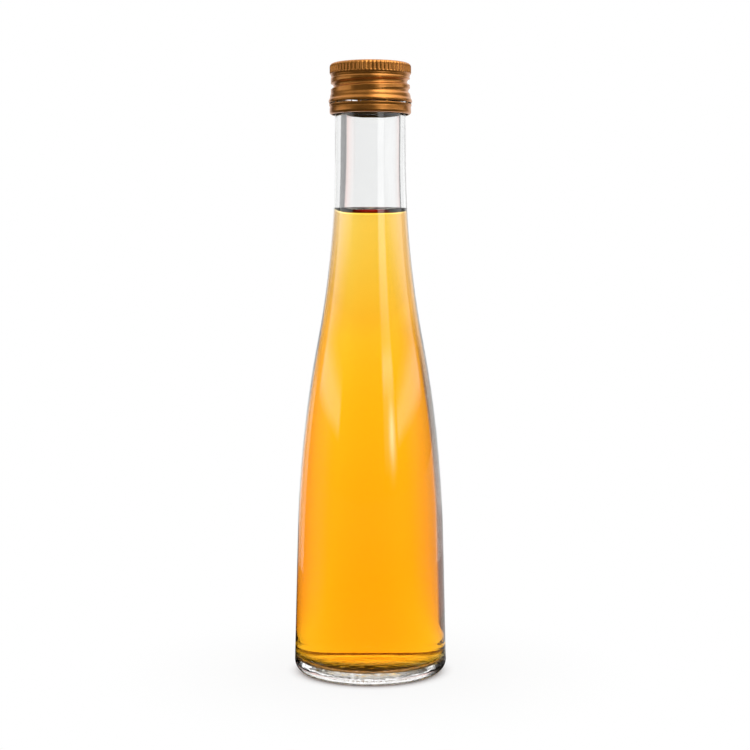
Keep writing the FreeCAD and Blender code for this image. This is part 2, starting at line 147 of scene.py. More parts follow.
class StudioSettings(bpy.types.PropertyGroup):
    """Floor, light and camera."""
    camera_back: length("Camera distance", "In front of the bottle's axis", 580.5)
    camera_side: length("Camera offset", "To the right of the bottle's axis", 1.6)
    camera_height: length("Camera height", "Above the floor", 143.5)
    camera_tilt: angle("Camera tilt", "Below level", 3.88)
    floor_radius: length("Floor radius", "Of the round table top", 3000.0)
    floor_glow: share("Floor glow", "How much of the floor's white is its own", 0.86)
    back_glow: level("Back wall", "Brightness of the wall behind the bottle", 1.0)
    back_far: level("Far floor", "Brightness of the sweep far behind, seen through glass", 1.22)
    back_near: level("Near floor", "Brightness of the sweep close behind", 1.62)
    shade: colour("Shade", "What the base mirrors inside itself", (0.40, 0.20, 0.06))
    sides: colour("Sides", "Tint of what is seen through the drink's edges", (0.95, 0.71, 0.67))
    dusk: share("Dusk", "Brightness of the dark lines inside the neck", 0.2)
    bounce: level("Bounce", "Brightness of the card that the drink's bottom mirrors", 2.2)
    bounce_distance: length("Bounce distance", "Bottle to that card", 250.0)
    bounce_top: length("Bounce top", "Height of that card", 130.0)
    bounce_fade: length("Bounce fade", "Height over which its top fades", 25.0)
    room: share("Room", "Brightness of the room in front", 0.02)
    ceiling: level("Ceiling", "Brightness overhead at the right, seen in the metal", 3.2)
    box_distance: length("Softbox distance", "From the bottle's axis", 500.0)
    box_angle: angle("Softbox angle", "Right of the camera", 34.0)
    box_width: length("Softbox width", "Across the panel", 230.0)
    box_low: length("Softbox foot", "Height of its lower edge", 60.0)
    box_high: length("Softbox top", "Height of its upper edge", 320.0)
    box_power: level("Softbox strength", "Brightness of its cloth", 3.0)
    lamp_power: level("Lamp strength", "Brightness of the lamp behind the cloth", 7.0)
    lamp_angle: angle("Lamp angle", "Right of the camera", 37.0)
    lamp_height: length("Lamp height", "Middle of the lamp", 140.0)
    lamp_spread: length("Lamp spread", "Half width of its glow", 27.0)
    side_distance: length("Side panels", "Left and right of the bottle", 1000.0)
    side_low: length("Side panel foot", "Height of their lower edge", 170.0)
    side_high: length("Side panel top", "Height of their upper edge", 400.0)
    side_power: level("Side strength", "Brightness of the side panels", 2.1)
    soft: length("Soft edge", "Width over which a panel's edge fades", 45.0)
    flag_distance: length("Flag distance", "Bottle's axis to the dark card behind it", 28.0)
    flag_reach: length("Flag width", "Length of that card, away from the bottle", 44.0)
    flag_top: length("Flag top", "Height of that card", 115.0)
    flag_angle: angle("Flag angle", "Direction of that card, left of straight back", 23.0)


# Meshes

GLASS_COLUMNS = 192
CAP_COLUMNS = 576
BRIDGES = 9
COLUMNS_PER_BRIDGE = CAP_COLUMNS // BRIDGES
BRIDGE_COLUMNS = 5
FLUTE_COLUMNS = 9
LINE_SPACING = 1.6 * MM


def link_object(name, vertices, faces, materials, picks=None):
    """A smooth mesh object in the scene, with a material for each face."""
    mesh = bpy.data.meshes.new(name)
    mesh.from_pydata([tuple(v) for v in vertices], [], faces)
    for material in materials:
        mesh.materials.append(material)
    mesh.polygons.foreach_set("use_smooth", [True] * len(mesh.polygons))
    if picks is not None:
        mesh.polygons.foreach_set("material_index", picks)
    if mesh.validate():
        raise RuntimeError("the mesh of %s had faults" % name)
    mesh.update()
    made = bpy.data.objects.new(name, mesh)
    bpy.context.scene.collection.objects.link(made)
    return made


def arc_points(start, end, centre, count):
    """Points on a circle's arc after its start, up to its end."""
    first = math.atan2(start[1] - centre[1], start[0] - centre[0])
    last = math.atan2(end[1] - centre[1], end[0] - centre[0])
    reach = math.hypot(start[0] - centre[0], start[1] - centre[1])
    points = []
    for step in range(1, count + 1):
        turn = first + (last - first) * step / count
        points.append((centre[0] + reach * math.cos(turn), centre[1] + reach * math.sin(turn)))
    return points


def eased(points, cut):
    """The same line with each corner cut twice, so that it turns softly."""
    for size in (cut, cut / 3):
        softer = [points[0]]
        for before, corner, after in zip(points, points[1:], points[2:]):
            for other in (before, after):
                span = math.dist(corner, other)
                move = min(size, span * 0.3) / span
                softer.append(tuple(c + (o - c) * move for c, o in zip(corner, other)))
        points = softer + [points[-1]]
    return points


def filled_in(points, spacing):
    """The same line with extra points where two lie further apart than spacing."""
    line = [points[0]]
    for before, after in zip(points, points[1:]):
        count = max(1, math.ceil(math.dist(before, after) / spacing))
        for step in range(1, count + 1):
            line.append(tuple(b + (a - b) * step / count for b, a in zip(before, after)))
    return line


def bottle_wall(heel, shoulder, neck, foot, glass):
    """Gives the radius of a wall at a height: taper, round shoulder, hollow neck curve."""
    low_rise = glass.waist_height - glass.shoulder_height
    high_rise = glass.neck_height - glass.waist_height
    lean = math.atan2(heel - shoulder, glass.shoulder_height - foot)
    flat, steep = lean, math.radians(60)
    for _ in range(50):
        turn = (flat + steep) / 2
        drop = low_rise * math.tan((turn + lean) / 2) + high_rise * math.tan(turn / 2)
        if drop < shoulder - neck:
            flat = turn
        else:
            steep = turn
    low_arc = low_rise / (math.sin(turn) - math.sin(lean))
    high_arc = high_rise / math.sin(turn)

    def radius_at(height):
        if height <= glass.shoulder_height:
            return heel - (height - foot) * math.tan(lean)
        if height <= glass.waist_height:
            sine = math.sin(lean) + (height - glass.shoulder_height) / low_arc
            return shoulder - low_arc * (math.cos(lean) - math.sqrt(1 - sine * sine))
        if height <= glass.neck_height:
            sine = (glass.neck_height - height) / high_arc
            return neck + high_arc * (1 - math.sqrt(1 - sine * sine))
        return neck

    return radius_at


def heights(low, high):
    """Even heights from just above low up to high."""
    count = max(1, math.ceil((high - low) / LINE_SPACING))
    return [low + (high - low) * step / count for step in range(1, count + 1)]


def turned_mesh(profile, columns, shift=None):
    """Vertices and faces of a profile turned about the axis; its ends lie on the axis."""
    vertices = [(0.0, 0.0, profile[0][1])]
    for radius, height in profile[1:-1]:
        for column in range(columns):
            turn = 2 * math.pi * column / columns
            reach = radius
            if shift:
                reach += shift(turn, radius, height)
            vertices.append((reach * math.cos(turn), reach * math.sin(turn), height))
    vertices.append((0.0, 0.0, profile[-1][1]))
    rings = len(profile) - 2
    last = len(vertices) - 1
    faces = []
    for column in range(columns):
        beside = (column + 1) % columns
        faces.append((0, 1 + beside, 1 + column))
        for ring in range(rings - 1):
            low = 1 + ring * columns
            high = low + columns
            faces.append((low + column, low + beside, high + beside, high + column))
        top = 1 + (rings - 1) * columns
        faces.append((top + column, top + beside, last))
    return vertices, faces


def wander(glass, turn, height):
    """How far the blown inside of the glass strays from round at this place."""
    around = Vector((math.cos(turn) * 1.3, math.sin(turn) * 1.3, height / 0.03))
    finer = Vector((math.cos(turn) * 3.1, math.sin(turn) * 3.1, height / 0.045 + 7.0))
    rise = (height - glass.waist_height) / (glass.neck_height - glass.waist_height)
    rise = min(1.0, max(0.0, rise))
    aside = glass.drift * math.cos(turn) * rise * rise * (3 - 2 * rise)
    return aside + glass.unevenness * (noise.noise(around) + 0.45 * noise.noise(finer))


def cavity_line(glass, reach, top):
    """The inside of the glass from the middle of its floor up its wall, moved out by reach."""
    heel = glass.heel / 2 - glass.wall + reach
    corner = glass.floor_corner + reach
    corner_centre = (heel - corner, glass.heel_thickness + glass.floor_corner)
    crown = glass.pushup + glass.floor_thickness - reach
    foot = (heel - corner, corner_centre[1] - corner)
    line = [(0.0, crown)]
    for step in range(1, 13):
        part = step / 13
        line.append((foot[0] * part, crown + (foot[1] - crown) * part * part))
    line.append(foot)
    line += arc_points(foot, (heel, corner_centre[1]), corner_centre, 14)
    inside = bottle_wall(
        heel, glass.shoulder / 2 - glass.wall + reach, glass.bore / 2 + reach,
        corner_centre[1], glass)
    line += [(inside(z), z) for z in heights(corner_centre[1], top)]
    return line, inside


# Materials

WHITE = (1.0, 1.0, 1.0)
GLASS_BENDING = 1.52
DRINK_BENDING = 1.36


def feed(tree, node, inputs):
    """Gives sockets their values, or links the outputs of other nodes to them."""
    for key, value in inputs.items():
        if isinstance(value, bpy.types.NodeSocket):
            tree.links.new(value, node.inputs[key])
        else:
            node.inputs[key].default_value = value


def add_node(tree, kind, inputs=None, **settings):
    """A node with its settings and its inputs."""
    made = tree.nodes.new(kind)
    for key, value in settings.items():
        setattr(made, key, value)
    feed(tree, made, inputs or {})
    return made


def maths(tree, operation, *values):
    """The result of a math node whose values are numbers or outputs of other nodes."""
    made = add_node(
        tree, "ShaderNodeMath", dict(enumerate(values)), operation=operation)
    return made.outputs["Value"]


def vector_maths(tree, operation, inputs, result="Value"):
    """The result of a vector math node, a number or a vector."""
    made = add_node(tree, "ShaderNodeVectorMath", inputs, operation=operation)
    return made.outputs[result]


def product(tree, *values):
    """All the values multiplied."""
    total = values[0]
    for value in values[1:]:
        total = maths(tree, "MULTIPLY", total, value)
    return total


def spread(tree, value, low, high, to_low=0.0, to_high=1.0, shape="SMOOTHSTEP"):
    """A value that eases from to_low to to_high as the given one goes from low to high."""
    made = add_node(
        tree, "ShaderNodeMapRange",
        {"Value": value, "From Min": low, "From Max": high, "To Min": to_low,
         "To Max": to_high}, interpolation_type=shape)
    return made.outputs["Result"]


def window(tree, value, low, high, soft):
    """1 between low and high, easing to 0 over the width soft at both ends."""
    rise = spread(tree, value, low, low + soft)
    fall = spread(tree, value, high - soft, high, 1.0, 0.0)
    return product(tree, rise, fall)


def place_on(tree, source="Object"):
    """The place on the object, or the direction from the middle of the world."""
    return add_node(tree, "ShaderNodeTexCoord").outputs[source]


def parts_of(tree, vector):
    """The X, Y and Z of a place or direction."""
    return add_node(tree, "ShaderNodeSeparateXYZ", {"Vector": vector}).outputs


def compass(tree, parts):
    """Where a place or direction lies round the bottle, 0.5 being behind."""
    around = maths(tree, "ARCTAN2", parts["X"], parts["Y"])
    return maths(tree, "MULTIPLY_ADD", around, 0.5 / math.pi, 0.5)


def ramp(tree, source, stops, unit=360.0, zero=0.5):
    """Levels or colours along a value; as given, the stops are degrees from behind."""
    made = add_node(tree, "ShaderNodeValToRGB", {"Fac": source})
    elements = made.color_ramp.elements
    while len(elements) < len(stops):
        elements.new(0.5)
    for element, (place, tone) in zip(elements, stops):
        element.position = zero + place / unit
        element.color = (*tone, 1) if isinstance(tone, tuple) else (tone, tone, tone, 1)
    return made.outputs["Color"]


def two_tone(tree, source, tone, dark, light, low=0.0, high=1.0):
    """A colour, darker where the value is low and lighter where it is high."""
    stops = [(low, toned(tone, dark)), (high, toned(tone, light))]
    return ramp(tree, source, stops, 1.0, 0.0)


def toned(colour_given, amount):
    """A colour made darker or lighter, at most full."""
    return tuple(min(1.0, part * amount) for part in colour_given)


def noise_at(tree, place, scale, detail, rough=0.5):
    """The grey of a noise texture."""
    made = add_node(
        tree, "ShaderNodeTexNoise",
        {"Vector": place, "Scale": scale, "Detail": detail, "Roughness": rough})
    return made.outputs["Fac"]


def bumped(tree, height, strength, distance):
    """The surface's direction over small bumps."""
    made = add_node(
        tree, "ShaderNodeBump", {"Height": height, "Strength": strength, "Distance": distance})
    return made.outputs["Normal"]


def new_material(name):
    """A material with its tree and its Principled shader."""
    material = bpy.data.materials.new(name)
    material.use_nodes = True
    return material, material.node_tree, material.node_tree.nodes["Principled BSDF"]


def see_through(tree, shader, tint, bending):
    """Makes a shader clear, with its tint and index of refraction."""
    feed(tree, shader, {
        "Base Color": (*tint, 1), "Transmission Weight": 1.0, "Roughness": 0.0,
        "IOR": bending})


def flint_glass(glass):
    """Clear flint glass: a faint ripple from moulding, and a deeper one in the base."""
    material, tree, shader = new_material("flint_glass")
    place = place_on(tree)
    height = parts_of(tree, place)["Z"]
    ripple = noise_at(tree, place, 60.0, 1.0)
    chill = noise_at(tree, place, 420.0, 3.0)
    pressed = spread(
        tree, height, glass.heel_thickness, 2 * glass.heel_thickness, glass.chill, 0.0)
    uneven = maths(tree, "ADD", ripple, product(tree, chill, pressed))
    see_through(tree, shader, glass.tint, GLASS_BENDING)
    feed(tree, shader, {"Normal": bumped(tree, uneven, 1.0, 0.05 * MM)})
    return material


def amber_liqueur(drink):
    """A clear amber drink that deepens with its thickness."""
    material, tree, shader = new_material("amber_liqueur")
    see_through(tree, shader, WHITE, DRINK_BENDING)
    depth = add_node(
        tree, "ShaderNodeVolumeAbsorption",
        {"Color": (*drink.tint, 1), "Density": drink.strength})
    feed(tree, tree.nodes["Material Output"], {"Volume": depth.outputs["Volume"]})
    return material


def bronze_lacquer(cap):
    """Bronze lacquer on rolled aluminium: fine drawn lines, lighter paint on sharp edges, a clear
    coat.
    """
    material, tree, shader = new_material("bronze_lacquer")
    place = place_on(tree)
    stretched = add_node(
        tree, "ShaderNodeMapping", {"Vector": place, "Scale": (1.0, 1.0, 14.0)})
    drawn = noise_at(tree, stretched.outputs["Vector"], 180.0, 4.0, 0.6)
    cloud = noise_at(tree, place, 320.0, 3.0)
    paint = two_tone(tree, cloud, cap.lacquer, 0.86, 1.08, 0.3, 0.7)
    # Lighter lacquer on sharp convex edges, picked out by their pointiness.
    shape = add_node(tree, "ShaderNodeNewGeometry").outputs["Pointiness"]
    edge = spread(tree, shape, 0.52, 0.60, 0.0, 0.45, "LINEAR")
    lighter_edges = add_node(
        tree, "ShaderNodeMix", {0: edge, 6: paint, 7: (*toned(cap.lacquer, 1.35), 1)},
        data_type="RGBA")
    feed(tree, shader, {
        "Base Color": lighter_edges.outputs[2],
        "Metallic": 0.9,
        "Roughness": spread(
            tree, drawn, 0.3, 0.7, cap.roughness - 0.04, cap.roughness + 0.06, "LINEAR"),
        "Coat Weight": 0.35,
        "Coat Roughness": 0.22,
        "Coat IOR": 1.5,
        "Normal": bumped(tree, drawn, 0.10, 0.04 * MM),
    })
    return material


def gold_lacquer(cap):
    """The thin gold lacquer inside the cap and along its slits."""
    material, tree, shader = new_material("gold_lacquer")
    place = place_on(tree)
    grain = noise_at(tree, place, 900.0, 2.0)
    feed(tree, shader, {
        "Base Color": two_tone(tree, grain, cap.inside, 0.85, 1.0),
        "Metallic": 1.0,
        "Roughness": 0.38,
    })
    return material


def liner_foam(cap):
    """Pale closed-cell foam with a fine pore."""
    material, tree, shader = new_material("liner_foam")
    place = place_on(tree)
    pores = add_node(
        tree, "ShaderNodeTexVoronoi", {"Vector": place, "Scale": 2500.0}).outputs["Distance"]
    feed(tree, shader, {
        "Base Color": two_tone(tree, pores, cap.liner, 0.9, 1.0),
        "Roughness": 0.7,
        "Normal": bumped(tree, pores, 0.3, 0.1 * MM),
    })
    return material


# Pieces

# The rolled thread's turn, in degrees from the right, along its whole run.
THREAD_START = -130.0
THREAD_FULL = 170.0
THREAD_EASES = 475.0
THREAD_END = 545.0
FRONT = 270.0


class BOTTLE_OT_glass(bpy.types.Operator):
    """Blow the flint glass bottle: heel, push-up, wall, neck, finish and cavity"""
    bl_idname = "bottle.glass"
    bl_label = "Glass bottle"

    def execute(self, context):
        glass = context.scene.bottle_glass
        heel = glass.heel / 2
        bearing = heel - glass.heel_curve
        edge = bearing - glass.bearing
        outside = bottle_wall(
            heel, glass.shoulder / 2, glass.neck / 2, glass.heel_curve, glass)
        line = [(0.0, glass.pushup)]
        for step in range(1, 13):
            part = step / 12
            line.append((edge * part, glass.pushup * (1 - part * part)))
        line += [(edge + glass.bearing * 0.5, 0.0), (bearing, 0.0)]
        line += arc_points(
            (bearing, 0.0), (heel, glass.heel_curve), (bearing, glass.heel_curve), 14)
        neck_top = glass.ring_foot - 0.9 * MM
        line += [(outside(z), z) for z in heights(glass.heel_curve, neck_top)]
        ring = glass.ring / 2
        ring_top = glass.ring_foot + glass.ring_thickness
        finish = glass.finish / 2
        lip = 1.0 * MM
        finish_line = [
            (glass.neck / 2, neck_top),
            (glass.neck / 2, glass.ring_foot - 0.5 * MM),
            (ring, glass.ring_foot),
            (ring, ring_top - 0.7 * MM),
            (finish, ring_top),
            (finish, glass.height - lip),
        ]
        line += eased(finish_line, 0.25 * MM)[1:]
        line += arc_points(
            (finish, glass.height - lip), (finish - lip, glass.height),
            (finish - lip, glass.height - lip), 6)
        bore = glass.bore / 2
        line += [(bore + 0.6 * MM, glass.height), (bore + 0.1 * MM, glass.height - 0.3 * MM)]
        inner, _ = cavity_line(glass, 0.0, glass.height - 0.8 * MM)
        line += inner[::-1]

        def shift(turn, radius, height):
            return wander(glass, turn, height) * inward(radius, height)

        inside = bottle_wall(
            heel - glass.wall, glass.shoulder / 2 - glass.wall, bore,
            glass.heel_thickness + glass.floor_corner, glass)

        def inward(radius, height):
            """All of the wander on the inner wall, none outside, at the floor or the mouth."""
            if height < glass.floor_corner or radius > inside(height) + 0.5 * MM:
                return 0.0
            return min(1.0, max(0.0, (glass.height - height) / (12 * MM) - 0.25))

        vertices, faces = turned_mesh(line, GLASS_COLUMNS, shift)
        made = link_object("glass", vertices, faces, [flint_glass(glass)])
        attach(made, "root")
        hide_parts("bottle_glass")
        return {"FINISHED"}


def edge_curve(drink, reach):
    """The drink's curved edge, from where it leaves the glass down to its flat surface."""
    pull = drink.pull
    steep = 2 * pull * math.sin(math.radians(42))

    def run(lift):
        return pull * (math.acosh(2 * pull / lift) - math.sqrt(4 - (lift / pull) ** 2))

    points = []
    start = run(steep)
    film = drink.rise - steep
    for step in range(1, 4):
        part = step / 4
        points.append((reach - 0.09 * MM * part, drink.level + drink.rise - film * part))
    for step in range(0, 25):
        lift = steep * (1 - step / 25) ** 1.6
        points.append((reach - 0.12 * MM - run(lift) + start, drink.level + lift))
    return points


class BOTTLE_OT_drink(bpy.types.Operator):
    """Fill the bottle up to its level"""
    bl_idname = "bottle.drink"
    bl_label = "Drink"

    def execute(self, context):
        glass = context.scene.bottle_glass
        drink = context.scene.bottle_drink
        contact = drink.level + drink.rise
        line, inside = cavity_line(glass, drink.bite, contact)
        reach = inside(contact)
        line += edge_curve(drink, reach)
        flat = line[-1][0]
        line += [(flat * (1 - step / 8), drink.level) for step in range(1, 8)]
        line.append((0.0, drink.level))
        low = glass.floor_corner

        def shift(turn, radius, height):
            if height < low:
                return 0.0
            near = (radius / inside(height)) ** 2
            return wander(glass, turn, height) * min(1.0, near)

        vertices, faces = turned_mesh(line, GLASS_COLUMNS, shift)
        made = link_object("drink", vertices, faces, [amber_liqueur(drink)])
        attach(made, "root")
        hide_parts("liqueur")
        return {"FINISHED"}


def cap_rows(cap):
    """The cap's outside, foot to crown, and how many of its rows lie below the slits.

    A row is its radius, its height and whether the inside has it too.
    """
    band = cap.band / 2
    lip = cap.lip / 2
    bead = cap.bead / 2
    step = cap.step / 2
    skirt = cap.skirt / 2
    slit_top = cap.band_height + cap.slit
    bead_mid = slit_top + 0.3 * MM
    knurl_foot = cap.height - cap.knurl_height
    tuck = 0.75 * MM
    band_line = [(band - tuck, 0.0)]
    band_line += arc_points(
        (band - tuck, 0.0), (band, 0.9 * MM), (band - 0.92 * MM, 0.95 * MM), 5)
    band_line += eased([
        (band, 0.9 * MM),
        (band, cap.band_height - 1.25 * MM),
        (band - 0.1 * MM, cap.band_height - 1.0 * MM),
        (lip, cap.band_height - 0.3 * MM),
        (lip - 0.02 * MM, cap.band_height),
    ], 0.15 * MM)[1:]
    bead_line = eased([
        (lip - 0.05 * MM, slit_top),
        (bead, bead_mid),
        (bead, bead_mid + 0.6 * MM),
        (step, bead_mid + 1.3 * MM),
        (step - 0.05 * MM, bead_mid + 2.0 * MM),
        (skirt, bead_mid + 2.9 * MM),
        (skirt, knurl_foot - 1.55 * MM),
        (skirt - 0.23 * MM, knurl_foot - 1.2 * MM),
        (skirt - 0.03 * MM, knurl_foot - 0.8 * MM),
        (skirt, knurl_foot - 0.3 * MM),
        (cap.knurl / 2 - 0.05 * MM, knurl_foot),
        (cap.knurl / 2, knurl_foot + 0.35 * MM),
        (cap.knurl / 2, cap.height - cap.crown_curve),
    ], 0.22 * MM)
    band_line = filled_in(band_line, 0.45 * MM)
    bead_line = filled_in(bead_line, 0.19 * MM)
    crown = cap.knurl / 2 - cap.crown_curve
    top_line = arc_points(
        bead_line[-1], (crown, cap.height), (crown, cap.height - cap.crown_curve), 6)
    top_line += [
        (crown - 1.2 * MM, cap.height),
        (crown * 0.6, cap.height - 0.02 * MM),
        (crown * 0.25, cap.height - 0.02 * MM),
    ]
    rows = [(r, z, True) for r, z in band_line]
    foot_count = len(rows)
    for index, (r, z) in enumerate(bead_line):
        rows.append((r, z, index < 2 or index % 2 == 0))
    rows += [(r, z, index % 2 == 1) for index, (r, z) in enumerate(top_line)]
    rows[-1] = rows[-1][:2] + (True,)
    return rows, foot_count


def rolled_thread(cap, turn, height):
    """How deep the rolled thread lies at this place, over its turns."""
    lift = 0.15 * MM
    soft = 0.07 * MM
    deepest = 0.0
    for lap in (-1, 0, 1, 2):
        along = math.degrees(turn) + 360.0 * lap
        if not THREAD_START < along < THREAD_END:
            continue
        part = min(
            1.0, (THREAD_END - along) / (THREAD_END - THREAD_EASES),
            (along - THREAD_START) / (THREAD_FULL - THREAD_START))
        sunk = math.sin(part * math.pi / 2) * (cap.sunk + lift) - lift
        middle = cap.thread_front + cap.pitch * (along - FRONT) / 360.0
        away = height - middle
        if abs(away) >= cap.roller:
            continue
        bite = sunk - cap.roller + math.sqrt(cap.roller ** 2 - away ** 2)
        deepest = max(deepest, (bite + math.hypot(bite, soft)) / 2 - soft / 4)
    return max(0.0, deepest)


def knurled(cap, column, height):
    """How deep a flute of the knurl lies at this column and height."""
    knurl_foot = cap.height - cap.knurl_height
    fade_low = min(1.0, max(0.0, (height - knurl_foot + 0.1 * MM) / (0.5 * MM)))
    fade_top = min(1.0, max(0.0, (cap.height - 0.15 * MM - height) / (1.1 * MM)))
    place = (column % FLUTE_COLUMNS) / FLUTE_COLUMNS
    scoop = math.sin(math.pi * place) ** 1.3
    return cap.knurl_depth * scoop * fade_low * math.sqrt(fade_top)


class BOTTLE_OT_cap(bpy.types.Operator):
    """Roll the aluminium cap: knurl, thread, bead, slits with bridges, tamper band"""
    bl_idname = "bottle.cap"
    bl_label = "Rolled-on cap"

    def execute(self, context):
        cap = context.scene.bottle_cap
        rows, foot_count = cap_rows(cap)
        turn_step = 2 * math.pi / CAP_COLUMNS
        first_turn = cap.bridge_angle - BRIDGE_COLUMNS / 2 * turn_step
        vertices = []
        outer = []
        inner = []
        normals = []
        count = len(rows)
        for index in range(count):
            before = rows[max(0, index - 1)]
            after = rows[min(count - 1, index + 1)]
            run = Vector((after[0] - before[0], after[1] - before[1])).normalized()
            normals.append((run.y, -run.x))
        for index, (radius, height, _) in enumerate(rows):
            outer.append(len(vertices))
            for column in range(CAP_COLUMNS):
                turn = (first_turn + column * turn_step) % (2 * math.pi)
                depth = rolled_thread(cap, turn, height) + knurled(cap, column, height)
                if index >= count - 3:
                    depth = 0.0
                reach = radius - depth
                vertices.append((
                    reach * math.cos(turn), reach * math.sin(turn), cap.foot + height))
        for index, (_, _, kept) in enumerate(rows):
            if not kept:
                inner.append(None)
                continue
            inner.append(len(vertices))
            across, up = normals[index]
            for column in range(CAP_COLUMNS):
                outside = Vector(vertices[outer[index] + column])
                flat = outside.xy.length
                reach = (flat - across * cap.gauge) / flat
                vertices.append((
                    outside.x * reach, outside.y * reach, outside.z - up * cap.gauge))
        faces = []
        picks = []

        def add(face, pick):
            faces.append(face)
            picks.append(pick)

        def add_strip(low, high, column, beside, pick):
            add((low + column, low + beside, high + beside, high + column), pick)

        slit = foot_count - 1

        def open_at(index, column):
            return index == slit and column % COLUMNS_PER_BRIDGE >= BRIDGE_COLUMNS

        kept_rows = [index for index in range(count) if inner[index] is not None]
        for column in range(CAP_COLUMNS):
            beside = (column + 1) % CAP_COLUMNS
            for index in range(count - 1):
                if open_at(index, column):
                    continue
                add_strip(outer[index], outer[index + 1], column, beside, 0)
            for index, above in zip(kept_rows, kept_rows[1:]):
                if open_at(index, column):
                    continue
                low, high = inner[index], inner[above]
                add((low + column, high + column, high + beside, low + beside), 1)
            add((outer[0] + column, inner[0] + column, inner[0] + beside, outer[0] + beside), 1)
            if open_at(slit, column):
                low_out, low_in = outer[slit], inner[slit]
                high_out, high_in = outer[slit + 1], inner[slit + 1]
                add_strip(low_out, low_in, column, beside, 1)
                add_strip(high_out, high_in, beside, column, 1)
                if not open_at(slit, column - 1):
                    add((low_out + column, low_in + column, high_in + column, high_out + column), 1)
                if not open_at(slit, beside):
                    add((low_in + beside, low_out + beside, high_out + beside, high_in + beside), 1)
        top = len(vertices)
        vertices.append((0.0, 0.0, cap.foot + cap.height - 0.02 * MM))
        vertices.append((0.0, 0.0, cap.foot + cap.height - 0.02 * MM - cap.gauge))
        for column in range(CAP_COLUMNS):
            beside = (column + 1) % CAP_COLUMNS
            add((outer[-1] + column, outer[-1] + beside, top), 0)
            add((inner[-1] + beside, inner[-1] + column, top + 1), 1)
        made = link_object(
            "cap_shell", vertices, faces, [bronze_lacquer(cap), gold_lacquer(cap)], picks)
        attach(made, "root")
        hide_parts("cap")
        return {"FINISHED"}


class BOTTLE_OT_liner(bpy.types.Operator):
    """Give the sealing disc its foam"""
    bl_idname = "bottle.liner"
    bl_label = "Sealing disc"

    def execute(self, context):
        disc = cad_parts["cap_liner"]
        foam = liner_foam(context.scene.bottle_cap)
        disc.data.materials.clear()
        disc.data.materials.append(foam)
        return {"FINISHED"}


# Studio

CARD_FOOT = 0.5 * MM
LENS = 80.0
SENSOR = 36.0
SIDE_BACK = 0.45
SIDE_FRONTS = (("left_panel", -1, 0.75), ("right_panel", 1, 1.0))

# Where parts of the floor begin and end, in metres from the bottle's axis.
CONTACT = (0.022, 0.030)
OPEN_FLOOR = (0.035, 0.1)
NEAR_GLOSS = (0.026, 0.034)
FAR_GLOSS = (0.12, 0.6)
SWEEP = (0.42, 0.85)
EVENED = (0.35, 0.75)
# Painted shadow: the floor under the bottle glows less where it is seen through the glass.
UNDERSIDE = (0.018, 0.030)
BASE_SHADE = (0.05, 0.3)

# Where the room's parts begin and end, as the upward part of a direction.
HORIZON = (-0.04, 0.05)
OVERHEAD = (0.36, 0.56)
MIRRORED_WALL = (0.10, 0.22)

# Where the dark card fades out, backwards and upwards.
FLAG_BACK = (0.047, 0.064)
FLAG_UP = (0.080, 0.112)
FLAG_COVER = 0.95
FLAG_TONE = (0.05, 0.045, 0.04)


def bare_tree(data, output_kind="ShaderNodeOutputMaterial"):
    """The emptied node tree of a material or world, with its output."""
    data.use_nodes = True
    tree = data.node_tree
    tree.nodes.clear()
    return tree, add_node(tree, output_kind)


def bare_material(name):
    """A material, its emptied node tree and its output."""
    material = bpy.data.materials.new(name)
    return material, *bare_tree(material)


def blend(tree, output, amount, first, second):
    """Shows the first shader, and the second one by the given amount."""
    mix = add_node(tree, "ShaderNodeMixShader", {"Fac": amount, 1: first, 2: second})
    feed(tree, output, {"Surface": mix.outputs["Shader"]})


def veil(tree, output, cover, tone, strength):
    """Clear where cover is 0, and a glow of the given tone where it is 1."""
    clear = add_node(tree, "ShaderNodeBsdfTransparent")
    glow = add_node(tree, "ShaderNodeEmission", {"Color": (*tone, 1), "Strength": strength})
    blend(tree, output, cover, clear.outputs["BSDF"], glow.outputs["Emission"])


def ray_kinds(tree):
    """1 for each kind of ray: the camera's, straight through, mirrored inside, mirrored."""
    rays = add_node(tree, "ShaderNodeLightPath").outputs
    passed = rays["Is Transmission Ray"]
    straight = product(tree, passed, maths(tree, "LESS_THAN", rays["Glossy Depth"], 0.5))
    inner = maths(tree, "SUBTRACT", passed, straight)
    outer = product(tree, rays["Is Glossy Ray"], maths(tree, "SUBTRACT", 1.0, passed))
    return rays["Is Camera Ray"], straight, inner, outer


def weighed(tree, *pairs):
    """The sum of colours, each times its weight."""
    total = None
    for tone, weight in pairs:
        part = vector_maths(tree, "SCALE", {0: tone, "Scale": weight}, "Vector")
        if total is not None:
            part = vector_maths(tree, "ADD", {0: total, 1: part}, "Vector")
        total = part
    return total


def hide_from(made, *rays):
    """Hides a piece of the stage from these kinds of ray."""
    for kind in rays:
        setattr(made, "visible_" + kind, False)


def panel(name, middle, size, facing, power, soft, fall, lamp=None):
    """An upright light panel, unseen by the camera; fall gives its share at each height."""
    width, height = size
    across = Vector((-facing.y, facing.x, 0)).normalized()
    side = across * width / 2
    up = Vector((0, 0, height / 2))
    material, tree, output = bare_material(name)
    place = place_on(tree)
    along = vector_maths(tree, "DOT_PRODUCT", {0: place, 1: across})
    middle_along = middle.dot(across)
    cloth = window(
        tree, along, middle_along - width / 2, middle_along + width / 2, soft)
    share_up = ramp(tree, parts_of(tree, place)["Z"], fall, 1.0, 0.0)
    strength = product(tree, cloth, share_up, power)
    if lamp:
        spot, spot_power, reach = lamp
        away = vector_maths(tree, "DISTANCE", {0: place, 1: spot})
        square = maths(tree, "POWER", maths(tree, "DIVIDE", away, reach), 2.0)
        bell = maths(tree, "EXPONENT", product(tree, square, -0.5))
        strength = maths(tree, "MULTIPLY_ADD", bell, spot_power, strength)
    glow = add_node(tree, "ShaderNodeEmission", {"Strength": strength})
    feed(tree, output, {"Surface": glow.outputs["Emission"]})
    corners = [middle - side - up, middle + side - up, middle + side + up, middle - side + up]
    made = link_object(name, corners, [(0, 1, 2, 3)], [material])
    hide_from(made, "camera", "transmission", "shadow")


